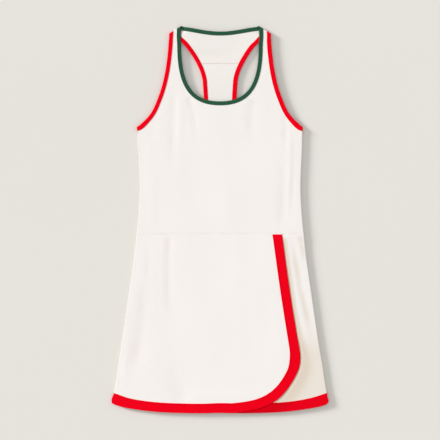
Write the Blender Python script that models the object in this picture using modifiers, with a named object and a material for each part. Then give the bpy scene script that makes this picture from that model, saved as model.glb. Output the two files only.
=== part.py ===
# Tennis dress lying flat on its back: wrap skirt, racer back, green neck, red armholes and hem bands.
# Metres, +Z up, +X to the right as seen, +Y towards the shoulders, front up, underside on z = 0.
# Each piece is drafted on a flat pattern and then laid over the rolled edges of the folded garment.
# A pattern point is (across, height above the hem's lowest point, layer), with layer 0 in front, 1 behind.

import math

import bmesh
import bpy
from mathutils import Vector
from mathutils.geometry import interpolate_bezier

# Driving sizes of the laid garment
LENGTH = 0.8695
WAIST = 0.4012
YOKE_SEAM = 0.7855
RACER_FOOT = 0.6650
HEM_CORNER = 0.2435
HEM_RISE = 0.0218
HEM_POWER = 3.6

# Walls and seams
CLOTH = 0.0012
TRIM = 0.0020
BINDING_WIDTH = 0.0088
BAND_WIDTH = 0.0214
SEAM = 0.0003
SIDE_GAP = 0.0004
TRIM_SEAM = 0.0004
STRAP_TURN = 0.0040

# Rolled edges at the sides and shoulders
FRONT_LEVEL = 0.0054
EDGE = 0.0030
ROLL = 0.0023
FADE = 0.0150

# Shoulder fold line, on the half at +X
SHOULDER_OUTER = Vector((0.1135, 0.8533))
SHOULDER_INNER = Vector((0.0889, 0.8683))

# Skirt's lower layer: its drop, the start and length of its climb past the wrap, and its hidden end
UNDER_DROP = 0.0020
UNDER_CLEAR = 0.0140
UNDER_REACH = 0.0220
UNDER_SIDE = 0.0120
UNDER_END = -0.0450
# Step of the wrap up onto the lower layer's hem band
BAND_STEP = 0.0005
STEP_HEIGHT = 0.0650
STEP_START = -0.0850
STEP_REACH = 0.0300
# Lift of the racer inside the neck opening
RACER_LIFT = 0.0018
RACER_HEIGHT = 0.7600
RACER_REACH = 0.0950
RACER_HALF = 0.1000
RACER_FADE = 0.0350

# Stations along the edges
FOLD_STEPS = 8
SIDE_STEPS = 8
ARM_STEPS = 24
SCOOP_STEPS = 16
RACER_STEPS = 8
YOKE_STEPS = 9
NECK_STEPS = 19
BACK_NECK_STEPS = 10
YOKE_SEAM_STEPS = 4
HEM_STEPS = 14
BODICE_COLUMNS = 6
BACK_ROWS = 8
RACER_COLUMNS = 3
YOKE_COLUMNS = 4
SKIRT_ROWS = 7
WRAP_STRAIGHT_STEPS = 8
WRAP_CORNER_STEPS = 8
WRAP_HEM_STEPS = 24
UNDER_STEPS = 18
UNDER_ROWS = 10
# Shares of a side's roll, from the seam inwards. The short first step squares the wall's end to the seam.
ROLL_SHARES = (0, 0.07, 0.38, 0.69, 1)
ROLL_STEPS = len(ROLL_SHARES) - 1
# Most of a short row that the columns of the roll may take
ROLL_MOST = 0.4
# Height on the centre line that is level with the top of the side seam's rows
CENTRE_BREAK = 0.5850
# Place across where the hem's outline is past the side
PAST_HEM = 0.2600
WELD = 0.00001

RED = (0.80, 0.002, 0.012, 1.0)
GREEN = (0.024, 0.090, 0.048, 1.0)
WHITE = (0.89, 0.86, 0.82, 1.0)

# Side edge: height, half width
SIDE = (
    (0.0243, 0.2435),
    (0.0547, 0.2363),
    (0.1267, 0.2255),
    (0.1987, 0.2144),
    (0.2707, 0.2041),
    (0.3427, 0.1937),
    (0.4012, 0.1872),
    (0.4507, 0.1825),
    (0.5047, 0.1800),
    (0.5587, 0.1816),
    (0.6374, 0.1859),
)

# Share of a crease's length over which each end fades
CREASE_FADE = 0.3
# Soft creases: top across, top height, foot across, foot height, half width, rise
CREASES = (
    (-0.075, 0.712, -0.056, 0.590, 0.012, -0.0008),
    (0.075, 0.706, 0.067, 0.580, 0.012, -0.0009),
    (-0.110, 0.740, -0.112, 0.530, 0.013, -0.0008),
    (0.143, 0.680, 0.146, 0.560, 0.010, -0.0007),
    (-0.115, 0.420, -0.112, 0.190, 0.012, -0.0008),
    (-0.166, 0.300, -0.200, 0.080, 0.014, -0.0009),
)
# Fan folds of the under layer beside the wrap, with the same columns
UNDER_FOLDS = (
    (0.157, 0.390, 0.209, 0.110, 0.008, 0.0007),
    (0.164, 0.398, 0.214, 0.120, 0.008, -0.0008),
    (0.178, 0.380, 0.222, 0.140, 0.008, 0.0007),
)

FOLD_ALONG = (SHOULDER_INNER - SHOULDER_OUTER).normalized()
FOLD_OUT = Vector((FOLD_ALONG.y, -FOLD_ALONG.x))
FOLD_START = SHOULDER_OUTER - EDGE * FOLD_OUT
HALF_TURN = math.pi * ROLL
SIDE_SEAM = (HALF_TURN - SIDE_GAP) / 2


def ease(value):
    """0 to 1 with soft ends."""
    value = min(max(value, 0.0), 1.0)
    return value * value * (3 - 2 * value)


def half_width(height):
    """Half width of the garment at this height, straight between the rows of SIDE and beyond its ends."""
    rows = list(zip(SIDE, SIDE[1:]))
    (low, narrow), (high, wide) = next((pair for pair in rows if height <= pair[1][0]), rows[-1])
    return narrow + (wide - narrow) * (height - low) / (high - low)


def hem_height(across):
    return HEM_RISE * (abs(across) / HEM_CORNER) ** HEM_POWER


def past_side(point):
    """How far a pattern point is past the line where the side starts to roll."""
    return abs(point.x) - (half_width(point.y) - EDGE)


def past_fold(point):
    """How far a pattern point is past the line where the shoulder starts to roll."""
    return (Vector((abs(point.x), point.y)) - FOLD_START).dot(FOLD_OUT)


def height_of(point):
    return point.y


def across_of(point):
    return point.x


def round_corner(point):
    """Falls all the way round the wrap's corner, from the straight edge to the hem."""
    return point.x + point.y


# Lines on the pattern
def arcs(*corners, layer=0, steps=24):
    """Points along Bezier arcs: start, handle, handle, end, handle, handle, end and so on."""
    line = [Vector((*corners[0], layer))]
    for first in range(0, len(corners) - 1, 3):
        knots = [Vector((*corner, layer)) for corner in corners[first : first + 4]]
        line += interpolate_bezier(*knots, steps)[1:]
    return line


def inset(line, distance):
    """The line moved to its left, which is into the cloth."""
    moved = []
    for index, point in enumerate(line):
        along = line[min(index + 1, len(line) - 1)] - line[max(index - 1, 0)]
        moved.append(point + distance * Vector((-along.y, along.x, 0)).normalized())
    return moved


def cut(line, measure, level):
    """The line before and after the first point where the measure passes the level."""
    for index, (start, end) in enumerate(zip(line, line[1:])):
        low, high = measure(start) - level, measure(end) - level
        if low * high <= 0 and low != high:
            place = start.lerp(end, low / (low - high))
            return [*line[: index + 1], place], [place, *line[index + 1 :]]
    raise ValueError(f"{measure.__name__} never reaches {level}")


def between(line, first, last):
    """The stretch of a line from one (measure, level) to another."""
    return cut(cut(line, *first)[1], *last)[0]


def places(line, distances):
    """The points at these distances along a line."""
    found, index, walked = [], 0, 0.0
    for distance in distances:
        while index < len(line) - 2 and walked + (line[index + 1] - line[index]).length < distance:
            walked += (line[index + 1] - line[index]).length
            index += 1
        span = (line[index + 1] - line[index]).length
        found.append(line[index].lerp(line[index + 1], min((distance - walked) / span, 1.0)))
    return found


def length_of(line):
    return sum((end - start).length for start, end in zip(line, line[1:]))


def stations(line, steps):
    """Evenly spaced points along a line, both ends included."""
    total = length_of(line)
    return [line[0], *places(line, [total * step / steps for step in range(1, steps)]), line[-1]]


def roll_stations(line):
    """Points along a line that crosses the roll at a side, from the seam inwards."""
    return [line[0], *places(line, [length_of(line) * share for share in ROLL_SHARES[1:-1]]), line[-1]]


def chain(*stretches):
    """Joins stretches whose ends meet."""
    joined = list(stretches[0])
    for stretch in stretches[1:]:
        joined += stretch[1:]
    return joined


def over_fold(front, back):
    """Stations over the shoulder fold, from where its roll starts in front to where it ends behind."""
    flat = Vector((back.x, back.y, 0))
    out = Vector((*FOLD_OUT, 0))
    turned = [front]
    for step in range(1, FOLD_STEPS):
        share = step / FOLD_STEPS
        turned.append(front.lerp(flat, share) + share * HALF_TURN * out)
    return [*turned, back]


FRONT_ARMHOLE = [Vector((0.1955, 0.6360, 0))] + arcs(
    (0.1868, 0.6412),
    (0.1613, 0.6653),
    (0.1542, 0.6691),
    (0.1414, 0.7033),
    (0.1217, 0.7503),
    (0.1174, 0.8013),
    (0.1138, 0.8530),
) + [Vector((0.1125, 0.8720, 0))]
BACK_ARMHOLE = [Vector((0.1955, 0.6530, 1))] + arcs(
    (0.1868, 0.6412),
    (0.1719, 0.6180),
    (0.0330, 0.5636),
    (0.0356, 0.7049),
    (0.0356, 0.7180),
    (0.0368, 0.7310),
    (0.0383, 0.7434),
    (0.0368, 0.7727),
    (0.0839, 0.8450),
    (0.1120, 0.8526),
    layer=1,
) + [Vector((0.1180, 0.8540, 1))]
FRONT_NECK = [Vector((0.0873, 0.8800, 0))] + arcs(
    (0.0873, 0.8240),
    (0.0873, 0.7300),
    (0.0520, 0.6997),
    (0.0000, 0.6997),
) + [Vector((-0.0100, 0.6997, 0))]
BACK_NECK = [Vector((0.0956, 0.8735, 1))] + arcs(
    (0.0849, 0.8680),
    (0.0810, 0.8660),
    (0.0760, 0.8657),
    (0.0700, 0.8650),
    (0.0500, 0.8627),
    (0.0280, 0.8561),
    (0.0000, 0.8561),
    layer=1,
) + [Vector((-0.0100, 0.8561, 1))]
WRAP_EDGE_ARCS = (
    (0.0300, 0.0001),
    (0.1000, 0.0100),
    (0.1330, 0.0170),
    (0.1676, 0.0776),
    (0.1820, 0.1030),
    (0.1830, 0.1180),
    (0.1780, 0.1496),
    (0.1640, 0.2332),
    (0.1510, 0.3172),
    (0.1385, 0.4090),
)
# Where the wrap's corner ends, by height, and its middle, by across + height
STRAIGHT_FOOT = 0.1400
CORNER_MIDDLE = 0.2050


def hem_line(first, last, layer, steps=60):
    """The hem's outline between two places across, from left to right."""
    spots = [first + (last - first) * step / steps for step in range(steps + 1)]
    return [Vector((across, hem_height(across), layer)) for across in spots]


def wrap_line():
    """The wrap's outline, from past the left side along the hem, round the corner and up to the waist."""
    return hem_line(-PAST_HEM, WRAP_EDGE_ARCS[0][0], 0)[:-1] + arcs(*WRAP_EDGE_ARCS)


def side_line(low, high, layer, hand=1, steps=SIDE_STEPS):
    """The side seam between two heights."""
    heights = [low + (high - low) * step / steps for step in range(steps + 1)]
    return [Vector((hand * (half_width(h) - EDGE + SIDE_SEAM), h, layer)) for h in heights]


def level_line(start, end, steps):
    return [start.lerp(end, step / steps) for step in range(steps + 1)]


# The laid surface
def crease(point, row):
    """Rise of one crease at a pattern point, fading along its length."""
    top, foot = Vector(row[0:2]), Vector(row[2:4])
    spine = foot - top
    share = (point - top).dot(spine) / spine.length_squared
    aside = (point - top - share * spine).length / row[4]
    ends = ease(share / CREASE_FADE) * ease((1 - share) / CREASE_FADE)
    return row[5] * math.exp(-aside * aside) * ends


def front_rise(point):
    """Rise of the front layer above its level at the edges."""
    flat = Vector((point.x, point.y))
    rise = sum(crease(flat, row) for row in CREASES)
    return rise * ease(-past_side(point) / FADE) * ease(-past_fold(point) / FADE)


def back_lift(point):
    """Lift of the racer off the surface inside the neck opening."""
    along = ease(1 - abs(point.y - RACER_HEIGHT) / RACER_REACH)
    beside = ease((RACER_HALF - abs(point.x)) / RACER_FADE)
    return RACER_LIFT * along * beside


WRAP_EDGE = wrap_line()


def past_wrap(point):
    """Distance to the right of the wrap's edge, 0 under the wrap."""
    edge = [spot for spot in WRAP_EDGE if spot.x > 0]
    flat = Vector((point.x, point.y, 0))
    near = min(range(len(edge) - 1), key=lambda i: (edge[i].lerp(edge[i + 1], 0.5) - flat).length)
    start, end = edge[near], edge[near + 1]
    along = (end - start).normalized()
    aside = flat - start
    outward = aside.x * along.y - aside.y * along.x
    return max(outward, 0.0)


def under_rise(point):
    """Rise of the skirt's lower layer: dropped under the wrap, back to the edge's level at the side."""
    clear = ease((past_wrap(point) - UNDER_CLEAR) / UNDER_REACH)
    side = ease(1 + past_side(point) / UNDER_SIDE)
    flat = Vector((point.x, point.y))
    folds = sum(crease(flat, row) for row in UNDER_FOLDS) * (1 - side) * clear
    return front_rise(point) - UNDER_DROP * (1 - max(clear, side)) + folds


def wrap_rise(point):
    """Rise of the wrap, which steps up over the lower layer's hem band."""
    low = ease((STEP_HEIGHT - point.y) / STEP_REACH)
    right = ease((point.x - STEP_START) / STEP_REACH)
    return front_rise(point) + BAND_STEP * low * right


def lay(point, thick, rise):
    """Where a pattern point of a wall this thick lies in space."""
    low = thick / 2
    radius, centre = (FRONT_LEVEL - low) / 2, (FRONT_LEVEL + low) / 2
    hand = math.copysign(1, point.x)
    behind = point.z > 0.5
    across, height = abs(point.x), point.y
    turn = 0.0 if behind else max(past_fold(point), 0.0) / ROLL
    if turn > 0:
        foot = Vector((across, height)) - turn * ROLL * FOLD_OUT
        across, height = foot + math.sin(turn) * radius * FOLD_OUT
        level = centre + math.cos(turn) * radius
    else:
        turn = max(past_side(point), 0.0) / ROLL
        across += math.sin(turn) * radius - turn * ROLL
        upward = -1 if behind else 1
        level = centre + upward * math.cos(turn) * radius
        level += back_lift(point) if behind else rise(point)
    return Vector((hand * across, height - LENGTH / 2, level))


# Pieces
def clear_scene():
    for obj in list(bpy.data.objects):
        bpy.data.objects.remove(obj, do_unlink=True)


def cloth_material(name, colour, roughness):
    material = bpy.data.materials.new(name)
    material.use_nodes = True
    shader = material.node_tree.nodes["Principled BSDF"]
    shader.inputs["Base Color"].default_value = colour
    shader.inputs["Roughness"].default_value = roughness
    shader.inputs["Metallic"].default_value = 0.0
    return material


def bends(edge):
    """Shares of the way along an edge at its stations, and each one's distance off the line between its ends."""
    shares = [length_of(edge[: index + 1]) / length_of(edge) for index in range(len(edge))]
    return shares, [spot - edge[0].lerp(edge[-1], share) for spot, share in zip(edge, shares)]


def rows_between(outer, inner, bottom, top=None):
    """Pattern rows from the outer to the inner edge, spaced as the bottom row and bent with bottom and top."""
    low_shares, low_bends = bends(bottom)
    high_shares, high_bends = bends(top) if top else (low_shares, [Vector((0, 0, 0))] * len(bottom))
    rows = [bottom]
    for index in range(1, len(outer)):
        height = index / (len(outer) - 1)
        start, end = outer[index], inner[index]
        reach = (end - start).length
        near = min(SIDE_SEAM / reach, ROLL_MOST)
        row = []
        for column, (low, high) in enumerate(zip(low_shares, high_shares)):
            if column <= ROLL_STEPS:
                share = near * ROLL_SHARES[column]
            else:
                low_even = (low - low_shares[ROLL_STEPS]) / (1 - low_shares[ROLL_STEPS])
                high_even = (high - high_shares[ROLL_STEPS]) / (1 - high_shares[ROLL_STEPS])
                share = near + (1 - near) * (low_even * (1 - height) + high_even * height)
            bend = low_bends[column] * (1 - height) + high_bends[column] * height
            row.append(start.lerp(end, share) + bend)
        rows.append(row)
    if top:
        rows[-1] = top
    return rows


def make_piece(name, blocks, thick, material, rise=front_rise, hands=(1,)):
    """Lays blocks of pattern rows, on one hand or on both, and gives the sheet its thickness."""
    sheet = bmesh.new()
    for hand in hands:
        for rows in blocks:
            across, down = len(rows[0]) - 1, len(rows) - 1
            made = bmesh.ops.create_grid(sheet, x_segments=across, y_segments=down, size=1)["verts"]
            spots = (spot for row in rows for spot in row)
            for vert, spot in zip(made, spots):
                vert.co = lay(Vector((hand * spot.x, spot.y, spot.z)), thick, rise)
    bmesh.ops.remove_doubles(sheet, verts=sheet.verts, dist=WELD)
    bmesh.ops.recalc_face_normals(sheet, faces=sheet.faces)
    mesh = bpy.data.meshes.new(name)
    sheet.to_mesh(mesh)
    sheet.free()
    mesh.shade_smooth()
    mesh.materials.append(material)
    obj = bpy.data.objects.new(name, mesh)
    garment.objects.link(obj)
    wall = obj.modifiers.new("Wall", "SOLIDIFY")
    wall.thickness = thick
    wall.offset = 0
    wall.use_even_offset = True
    return obj


def strip_rows(edge, other, across=1):
    """Rows across a strip between two edges with as many stations."""
    return [level_line(start, end, across) for start, end in zip(edge, other)]


def front_armhole(distance):
    """Stations on the front of an armhole line this far into the cloth, from the side seam to the fold."""
    line = inset(FRONT_ARMHOLE, distance)
    rolled = between(line, (past_side, SIDE_SEAM), (past_side, 0))
    flat = between(line, (past_side, 0), (past_fold, 0))
    return chain(roll_stations(rolled), stations(flat, ARM_STEPS))


def back_armhole(distance):
    """The same line behind, as its scoop, its racer edge, its yoke edge and its end beside the fold."""
    line = inset(BACK_ARMHOLE, distance)
    rolled = between(line, (past_side, SIDE_SEAM), (past_side, 0))
    scoop = between(line, (past_side, 0), (height_of, RACER_FOOT))
    racer = between(line, (height_of, RACER_FOOT), (height_of, YOKE_SEAM))
    yoke = between(line, (height_of, YOKE_SEAM), (past_fold, -STRAP_TURN))
    turn = between(line, (past_fold, -STRAP_TURN), (past_fold, 0))
    lower = chain(roll_stations(rolled), stations(scoop, SCOOP_STEPS))
    return lower, stations(racer, RACER_STEPS), stations(yoke, YOKE_STEPS), [turn[0], turn[-1]]


def front_neck(distance):
    """Stations on the front of a neck line this far into the cloth, from the shoulder fold to the centre."""
    line = inset(FRONT_NECK, distance)
    return stations(between(line, (past_fold, 0), (across_of, 0)), NECK_STEPS)


def back_neck(distance):
    """The same line behind, as its end beside the fold and the rest to the centre."""
    line = between(inset(BACK_NECK, distance), (past_fold, 0), (across_of, 0))
    turn, rest = cut(line, past_fold, -STRAP_TURN)
    return [turn[0], turn[-1]], stations(rest, BACK_NECK_STEPS)


def armhole_edge(distance):
    """A whole armhole line, from the side seam in front round to the side seam behind."""
    front = front_armhole(distance)
    behind = chain(*back_armhole(distance))[::-1]
    return chain(front, over_fold(front[-1], behind[0]), behind)


def neck_edge(distance):
    """Half of the neck line, from the centre in front over the shoulder to the centre behind."""
    front = front_neck(distance)[::-1]
    turn, rest = back_neck(distance)
    behind = chain(turn, rest)
    return chain(front, over_fold(front[-1], behind[0]), behind)


def roll_row(start, end, steps):
    """A level row from a side seam inwards, with close columns where the side rolls."""
    hand = math.copysign(1, start.x)
    inner = Vector((start.x - hand * SIDE_SEAM, start.y, start.z))
    return chain(roll_stations([start, inner]), level_line(inner, end, steps))


PANEL_EDGE = BINDING_WIDTH + TRIM_SEAM
PANEL_HEM = BAND_WIDTH + TRIM_SEAM


def make_front_bodice(white):
    """Front from the waist seam to the straps, which turn over the shoulders."""
    arm, neck = front_armhole(PANEL_EDGE), front_neck(PANEL_EDGE)[::-1]
    low = WAIST + SEAM / 2
    outer = chain(side_line(low, arm[0].y, 0), arm)
    foot, middle, head = (Vector((0, height, 0)) for height in (low, CENTRE_BREAK, neck[0].y))
    upper_rows = len(outer) - len(neck) - SIDE_STEPS
    inner = chain(level_line(foot, middle, SIDE_STEPS), level_line(middle, head, upper_rows), neck)
    back_turn = back_armhole(PANEL_EDGE)[-1]
    neck_turn, _ = back_neck(PANEL_EDGE)
    outer = chain(outer, over_fold(outer[-1], back_turn[1]))
    inner = chain(inner, over_fold(inner[-1], neck_turn[0]))
    ends = (STRAP_TURN - SEAM / 2) / STRAP_TURN
    outer.append(back_turn[1].lerp(back_turn[0], ends))
    inner.append(neck_turn[0].lerp(neck_turn[1], ends))
    bottom = roll_row(outer[0], inner[0], BODICE_COLUMNS)
    make_piece("front_bodice", [rows_between(outer, inner, bottom)], CLOTH, white, hands=(1, -1))


def make_back_bodice(white):
    """Back from the waist seam up to the yoke seam, with the racer between the armholes."""
    lower, racer, _, _ = back_armhole(PANEL_EDGE)
    racer = [*racer[:-1], racer[-1] - Vector((0, SEAM / 2, 0))]
    low = WAIST + SEAM / 2
    foot, head = Vector((0, RACER_FOOT, 1)), Vector((0, racer[-1].y, 1))
    outer = side_line(low, lower[0].y, 1, steps=BACK_ROWS)
    inner = level_line(Vector((0, low, 1)), foot, BACK_ROWS)
    racer_foot = level_line(racer[0], foot, RACER_COLUMNS)
    top = chain(lower, racer_foot)
    bottom = roll_row(outer[0], inner[0], SCOOP_STEPS + RACER_COLUMNS)
    blocks = [
        rows_between(outer, inner, bottom, top),
        strip_rows(racer, level_line(foot, head, RACER_STEPS), RACER_COLUMNS),
    ]
    make_piece("back_bodice", blocks, CLOTH, white, hands=(1, -1))


def make_back_yoke(white):
    """Upper back between the yoke seam, the racer edges and the back neck."""
    _, _, edge, _ = back_armhole(PANEL_EDGE)
    _, neck = back_neck(PANEL_EDGE)
    low = YOKE_SEAM + SEAM / 2
    edge = [edge[0] + Vector((0, SEAM / 2, 0)), *edge[1:]]
    seam = level_line(Vector((0, low, 1)), edge[0], YOKE_SEAM_STEPS)
    inner = chain(seam, edge)
    outer = stations(neck, len(inner) - 1)[::-1]
    shift = outer[-1] - outer[-2]
    away = SEAM / (2 * shift.length)
    outer[-1] = outer[-1] - away * shift
    inner[-1] = inner[-1] - away * shift
    rows = strip_rows(inner, outer, YOKE_COLUMNS)
    make_piece("back_yoke", [rows], CLOTH, white, hands=(1, -1))


def make_back_skirt(white):
    line = inset(hem_line(PAST_HEM, 0.0, 1), -PANEL_HEM)
    rolled = between(line, (past_side, SIDE_SEAM), (past_side, 0))
    flat = cut(line, past_side, 0)[1]
    bottom = chain(roll_stations(rolled), stations(flat, HEM_STEPS))
    top = WAIST - SEAM / 2
    outer = side_line(bottom[0].y, top, 1, steps=SKIRT_ROWS)
    inner = level_line(bottom[-1], Vector((0, top, 1)), SKIRT_ROWS)
    make_piece("back_skirt", [rows_between(outer, inner, bottom)], CLOTH, white, hands=(1, -1))


def make_back_hem_band(red):
    edges = []
    for distance in (0, BAND_WIDTH):
        line = inset(hem_line(PAST_HEM, 0.0, 1), -distance)
        rolled = between(line, (past_side, SIDE_SEAM), (past_side, 0))
        flat = cut(line, past_side, 0)[1]
        edges.append(chain(roll_stations(rolled), stations(flat, HEM_STEPS)))
    make_piece("back_hem_band", [strip_rows(*edges)], TRIM, red, hands=(1, -1))


def wrap_edge(distance):
    """Stations on the wrap's line this far into the cloth: the hem and lower corner, then up to the waist."""
    line = inset(WRAP_EDGE, distance)
    rolled = between(line, (past_side, SIDE_SEAM), (past_side, 0))
    hem = between(line, (past_side, 0), (round_corner, CORNER_MIDDLE))
    corner = between(line, (round_corner, CORNER_MIDDLE), (height_of, STRAIGHT_FOOT))
    straight = between(line, (height_of, STRAIGHT_FOOT), (height_of, WAIST - SEAM / 2))
    foot = chain(roll_stations(rolled), stations(hem, WRAP_HEM_STEPS))
    rest = chain(stations(corner, WRAP_CORNER_STEPS), stations(straight, WRAP_STRAIGHT_STEPS))
    return foot, rest


def make_skirt_wrap(white):
    bottom, inner = wrap_edge(PANEL_HEM)
    outer = side_line(bottom[0].y, WAIST - SEAM / 2, 0, hand=-1, steps=len(inner) - 1)
    make_piece("skirt_wrap", [rows_between(outer, inner, bottom)], CLOTH, white, rise=wrap_rise)


def make_wrap_band(red):
    edges = [chain(*wrap_edge(distance)) for distance in (0, BAND_WIDTH)]
    make_piece("wrap_band", [strip_rows(*edges)], TRIM, red, rise=wrap_rise)


def under_edge(distance):
    """Stations on the lower layer's hem, from the right side seam to its hidden end."""
    line = inset(hem_line(PAST_HEM, UNDER_END - TRIM, 0), -distance)
    rolled = between(line, (past_side, SIDE_SEAM), (past_side, 0))
    flat = between(line, (past_side, 0), (across_of, UNDER_END))
    return chain(roll_stations(rolled), stations(flat, UNDER_STEPS))


def make_skirt_under(white):
    bottom = under_edge(PANEL_HEM)
    top = WAIST - SEAM / 2
    outer = side_line(bottom[0].y, top, 0, steps=UNDER_ROWS)
    inner = level_line(bottom[-1], Vector((UNDER_END, top, 0)), UNDER_ROWS)
    rows = rows_between(outer, inner, bottom)
    make_piece("skirt_under", [rows], CLOTH, white, rise=under_rise)


def make_under_band(red):
    edges = [under_edge(distance) for distance in (0, BAND_WIDTH)]
    make_piece("under_band", [strip_rows(*edges)], TRIM, red, rise=under_rise)


def make_neck_binding(green):
    rows = strip_rows(neck_edge(0), neck_edge(BINDING_WIDTH))
    make_piece("neck_binding", [rows], TRIM, green, hands=(1, -1))


def make_armhole_bindings(red):
    rows = strip_rows(armhole_edge(0), armhole_edge(BINDING_WIDTH))
    for name, hand in (("armhole_binding_right", 1), ("armhole_binding_left", -1)):
        make_piece(name, [rows], TRIM, red, hands=(hand,))


clear_scene()
garment = bpy.data.collections.new("tennis_dress")
bpy.context.scene.collection.children.link(garment)

white_knit = cloth_material("white_knit", WHITE, 0.85)
red_rib = cloth_material("red_rib", RED, 0.75)
green_rib = cloth_material("green_rib", GREEN, 0.75)

make_front_bodice(white_knit)
make_back_yoke(white_knit)
make_back_bodice(white_knit)
make_back_skirt(white_knit)
make_skirt_wrap(white_knit)
make_skirt_under(white_knit)
make_neck_binding(green_rib)
make_armhole_bindings(red_rib)
make_wrap_band(red_rib)
make_under_band(red_rib)
make_back_hem_band(red_rib)
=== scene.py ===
# Tennis dress laid flat on its back, front up: white knit, red rib bands and bindings, green neck binding.
# A pattern point is (across, height above the hem, layer), with layer 0 in front and 1 behind.
# All sizes are in metres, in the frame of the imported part.
import math

import bmesh
import bpy
import numpy as np
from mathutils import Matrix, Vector
from mathutils.geometry import interpolate_bezier


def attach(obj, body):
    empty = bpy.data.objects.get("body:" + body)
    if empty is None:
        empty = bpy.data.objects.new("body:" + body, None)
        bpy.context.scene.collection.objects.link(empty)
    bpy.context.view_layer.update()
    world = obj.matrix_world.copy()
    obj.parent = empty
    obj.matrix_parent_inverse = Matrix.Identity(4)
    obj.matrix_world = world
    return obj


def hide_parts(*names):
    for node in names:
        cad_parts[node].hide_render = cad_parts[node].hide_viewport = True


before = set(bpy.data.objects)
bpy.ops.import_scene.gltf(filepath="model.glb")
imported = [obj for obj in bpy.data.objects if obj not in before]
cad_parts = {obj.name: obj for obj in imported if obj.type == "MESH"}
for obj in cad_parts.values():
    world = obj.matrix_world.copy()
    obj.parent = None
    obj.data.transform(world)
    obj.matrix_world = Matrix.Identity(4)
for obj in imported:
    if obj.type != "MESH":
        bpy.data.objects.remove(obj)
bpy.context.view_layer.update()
scene = bpy.context.scene
print("frame loaded:", len(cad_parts), "nodes")

garment = {
    "length": 0.8695,
    "waist": 0.4012,
    "yokeSeam": 0.7868,
    "racerFoot": 0.6650,
    "hemCorner": 0.2435,
    "hemRise": 0.0218,
    "hemPower": 3.6,
    "hemSag": 0.0011,  # how much lower the hem lies beside its corners
    "sagAcross": 0.2210,
    "sagHalf": 0.0220,
    "pastHem": 0.2600,
    "shoulderOuter": Vector((0.1135, 0.8533)),
    "shoulderInner": Vector((0.0885, 0.8690)),
    "frontLevel": 0.0054,
    "backLevel": 0.0010,
    "edge": 0.0030,
    "roll": 0.0023,
    "fade": 0.0150,
    "sideGap": 0.0002,
    "strapTurn": 0.0040,
    "knit": 0.0011,
    "seamGap": 0.00004,
    "press": 0.36,  # below 1, the rolled edges are pressed squarer than a half circle
    "tuck": 0.0040,  # how far a panel runs into the fold of its trim
    "rollShares": (0, 0.06, 0.15, 0.3, 0.47, 0.64, 0.8, 0.93, 1),
    "rollMost": 0.4,
}
# side edge: height, half width
sideRows = (
    (0.0000, 0.2493),
    (0.0243, 0.2435),
    (0.0547, 0.2363),
    (0.1267, 0.2255),
    (0.1987, 0.2144),
    (0.2707, 0.2041),
    (0.3427, 0.1937),
    (0.4012, 0.1872),
    (0.4507, 0.1825),
    (0.5047, 0.1800),
    (0.5587, 0.1816),
    (0.6374, 0.1859),
    (0.6800, 0.1882),
)

halfTurn = math.pi * garment["roll"]
sideSeam = (halfTurn - garment["sideGap"]) / 2
foldAlong = (garment["shoulderInner"] - garment["shoulderOuter"]).normalized()
foldOut = Vector((foldAlong.y, -foldAlong.x))
foldStart = garment["shoulderOuter"] - garment["edge"] * foldOut
levelMiddle = (garment["frontLevel"] + garment["backLevel"]) / 2
levelRadius = (garment["frontLevel"] - garment["backLevel"]) / 2
rollSteps = len(garment["rollShares"]) - 1


def ease(value):
    value = np.clip(value, 0.0, 1.0)
    return value * value * (3 - 2 * value)


# from 0 at the start to 1 a reach further on, which is further down where the reach is negative
def ramp(value, start, reach):
    return ease((value - start) / reach)


def bell(value, half):
    return np.exp(-((value / half) ** 2))


# a smooth line through a few knots
def smoothLine(knots, steps=8):
    knots = [Vector((*knot, 0)) for knot in knots]
    line = [knots[0]]
    for index in range(len(knots) - 1):
        before, start = knots[max(index - 1, 0)], knots[index]
        end, after = knots[index + 1], knots[min(index + 2, len(knots) - 1)]
        handles = start + (end - before) / 6, end - (after - start) / 6
        line += interpolate_bezier(start, *handles, end, steps)[1:]
    return line


sideCurve = np.array(smoothLine(sideRows))


def halfWidth(height):
    return np.interp(height, sideCurve[:, 0], sideCurve[:, 1])


def hemHeight(across):
    sag = garment["hemSag"] * bell(abs(across) - garment["sagAcross"], garment["sagHalf"])
    return garment["hemRise"] * (abs(across) / garment["hemCorner"]) ** garment["hemPower"] - sag


# measures that a line can be cut at
def pastSide(point):
    return abs(point.x) - (halfWidth(point.y) - garment["edge"])


def pastFold(point):
    return (Vector((abs(point.x), point.y)) - foldStart).dot(foldOut)


def heightOf(point):
    return point.y


def acrossOf(point):
    return point.x


def roundCorner(point):
    return point.x + point.y


# points along Bezier arcs: the start, then two handles and an end for each
def arcs(corners, layer=0, steps=40):
    line = [Vector((*corners[0], layer))]
    for first in range(0, len(corners) - 1, 3):
        knots = [Vector((*corner, layer)) for corner in corners[first : first + 4]]
        line += interpolate_bezier(*knots, steps)[1:]
    return line


# the line moved to its left, which is into the cloth, and further near the spots where a trim is wider
def inset(line, distance, wideSpots=()):
    moved = []
    for index, point in enumerate(line):
        along = line[min(index + 1, len(line) - 1)] - line[max(index - 1, 0)]
        width = 1.0
        for across, height, halfAcross, halfHeight, more in wideSpots:
            width += more * bell(point.x - across, halfAcross) * bell(point.y - height, halfHeight)
        moved.append(point + float(distance * width) * Vector((-along.y, along.x, 0)).normalized())
    return moved


def cut(line, measure, level):
    for index, (start, end) in enumerate(zip(line, line[1:])):
        low, high = measure(start) - level, measure(end) - level
        if low * high <= 0 and low != high:
            place = start.lerp(end, low / (low - high))
            return [*line[: index + 1], place], [place, *line[index + 1 :]]
    raise ValueError(f"{measure.__name__} never reaches {level}")


def between(line, first, last):
    return cut(cut(line, *first)[1], *last)[0]


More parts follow.
